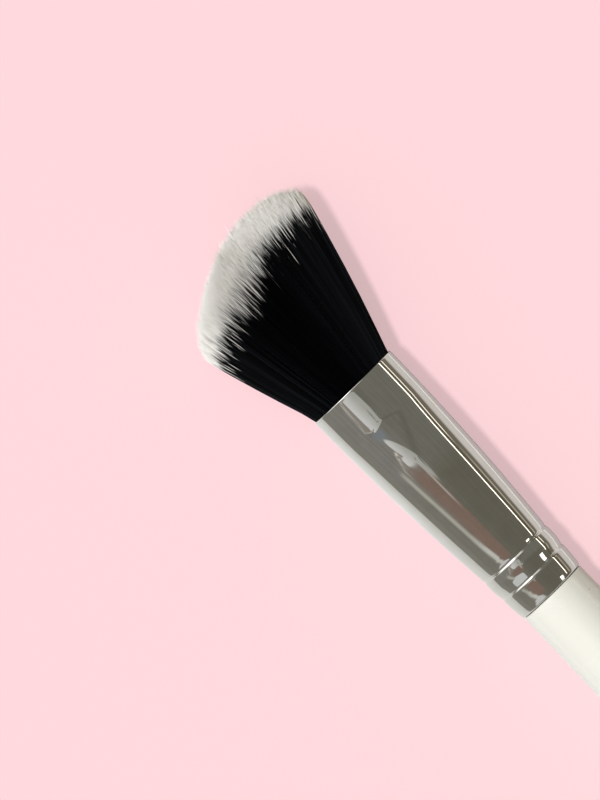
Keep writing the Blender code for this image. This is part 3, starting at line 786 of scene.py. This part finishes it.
def make_world():
    """A plain sky that lights the brush, with the glossy one for mirrored rays and the floor's
    colour for the camera."""
    world = bpy.data.worlds.new("studio")
    bpy.context.scene.world = world
    world.use_nodes = True
    shader = Shader(world.node_tree)
    direction = shader.node("ShaderNodeTexCoord").outputs["Generated"]
    rays = shader.node("ShaderNodeLightPath").outputs
    _, aside, height = shader.split(direction)
    upward = shader.mix(shader.range(height, 0.0, 1.0, smoothed=False),
                        (0.24, 0.24, 0.24), (0.91, 0.90, 0.87))
    fall = shader.range(aside, *SKY_SIDE_FALL, 0.0, SKY_FALL_SHARE, smoothed=False)
    soft = shader.mix(fall, upward, (0.065, 0.05, 0.02))
    seen = shader.mix(rays["Is Glossy Ray"], soft, glossy_sky(shader, direction))
    seen = shader.mix(rays["Is Camera Ray"], seen, linear(255, 219, 223))
    shader.put(world.node_tree.nodes["Background"].inputs["Color"], seen)


def make_floor():
    """A pale floor. It mirrors as the pale card that the brush lies on, with a painted shadow on the long
    side and a thin painted line of light past it; the card ends a little way off on each side. It lights
    the brush without its pink, and what it bounces is darker and warmer on the long side: painted shade."""
    mesh = bpy.data.meshes.new("floor")
    corners = [(x * FLOOR_REACH, y * FLOOR_REACH, 0.0) for x, y in ((-1, -1), (1, -1), (1, 1), (-1, 1))]
    mesh.from_pydata(corners, [], [(0, 1, 2, 3)])
    floor = add_object("floor", mesh)
    made, shader, surface = new_material("pale_paper")
    rays = shader.node("ShaderNodeLightPath").outputs
    along, aside, _ = shader.split(shader.object_place())
    # Painted shadow: the card is darker on the long side near the brush, then lighter; past it lies a thin
    # line of painted light brighter than white
    shade = shader.range(aside, *CARD_LONG_SHADE_EDGE)
    long_side = shader.mix(shade, (0.61, 0.54, 0.56), (0.70, 0.675, 0.67))
    long_side = shader.mix(shader.within(aside, *CARD_PAINTED_LIGHT_LINE), long_side, (1.6, 1.6, 1.5))
    long_side = shader.mix(shader.range(aside, *CARD_LONG_EDGE), long_side, (0.19, 0.17, 0.135))
    close = shader.mix(shader.range(along, *CARD_TUFT_EDGE), (0.83, 0.845, 0.855), (0.745, 0.755, 0.75))
    short_side = shader.mix(shader.range(aside, *CARD_SHORT_SHADE_EDGE), (0.65, 0.67, 0.66), close)
    short_side = shader.mix(shader.range(aside, *CARD_SHORT_EDGE), (0.25, 0.245, 0.22), short_side)
    card = shader.mix(shader.range(aside, *CARD_MIDDLE), short_side, long_side)
    # Painted shade: the floor bounces darker, warmer light on the long side than on the short one
    bounce = shader.mix(shader.range(aside, *PAINTED_BOUNCE_SHADE_EDGE), (0.64, 0.63, 0.62), (0.50, 0.43, 0.30))
    colour = shader.mix(rays["Is Glossy Ray"], bounce, card)
    colour = shader.mix(rays["Is Camera Ray"], colour, linear(254, 211, 217))
    shader.fill(surface, {"Base Color": colour, "Roughness": 0.9, "Specular IOR Level": 0.0})
    glow = shader.node("ShaderNodeEmission", {"Color": linear(255, 219, 223)})
    glow_share = shader.math("MULTIPLY", rays["Is Camera Ray"], FLOOR_GLOW_SHARE)
    blend = shader.node("ShaderNodeMixShader", {0: glow_share, 1: surface.outputs[0], 2: glow.outputs[0]})
    shader.put(made.node_tree.nodes["Material Output"].inputs["Surface"], blend.outputs[0])
    mesh.materials.append(made)


def make_key_light():
    """A soft lamp, high over the brush's short side. Its mirror image is left to the sky."""
    lamp = bpy.data.lights.new("key", "SUN")
    lamp.energy = KEY_STRENGTH
    lamp.angle = KEY_SOFTNESS
    key = add_object("key", lamp)
    towards = Vector((KEY_AHEAD, -math.cos(KEY_ELEVATION), math.sin(KEY_ELEVATION)))
    key.rotation_euler = towards.to_track_quat("Z", "Y").to_euler()
    key.visible_glossy = False


def photo_place(x, y, matrix):
    """Where a pixel of the photograph lies, at the height of the brush's mouth."""
    right, down = x - MOUTH_X, y - MOUTH_Y
    along = right * math.cos(BRUSH_ANGLE) + down * math.sin(BRUSH_ANGLE)
    aside = right * math.sin(BRUSH_ANGLE) - down * math.cos(BRUSH_ANGLE)
    return matrix @ Vector((along * PIXEL, aside * PIXEL, 0.0))


def make_camera(matrix):
    """A camera straight above the photograph's middle, with the photograph's scale."""
    lens = bpy.data.cameras.new("camera")
    lens.sensor_fit = "VERTICAL"
    lens.sensor_height = SENSOR_HEIGHT
    lens.lens = SENSOR_HEIGHT * CAMERA_DISTANCE / (PHOTO_HEIGHT * PIXEL)
    lens.clip_start = CAMERA_CLIP_START
    camera = add_object("camera", lens)
    right = Vector((math.cos(BRUSH_ANGLE), math.sin(BRUSH_ANGLE), 0.0))
    up = Vector((-math.sin(BRUSH_ANGLE), math.cos(BRUSH_ANGLE), 0.0))
    pose = Matrix((right, up, Vector((0.0, 0.0, 1.0)))).transposed().to_4x4()
    middle = photo_place(PHOTO_WIDTH / 2, PHOTO_HEIGHT / 2, matrix)
    pose.translation = middle + Vector((0.0, 0.0, CAMERA_DISTANCE))
    camera.matrix_world = pose
    bpy.context.scene.camera = camera


def main():
    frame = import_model()
    bpy.context.scene.view_settings.view_transform = "Standard"
    matrix = brush_matrix(frame["record"])
    make_camera(matrix)
    make_world()
    make_floor()
    make_key_light()
    finish_cad_nodes(frame["nodes"])
    make_ferrule(make_chrome(), matrix)
    make_handle(make_lacquer(), matrix)
    make_fibres(make_fibre(), matrix)
    make_core_mass(make_core(), matrix)


main()
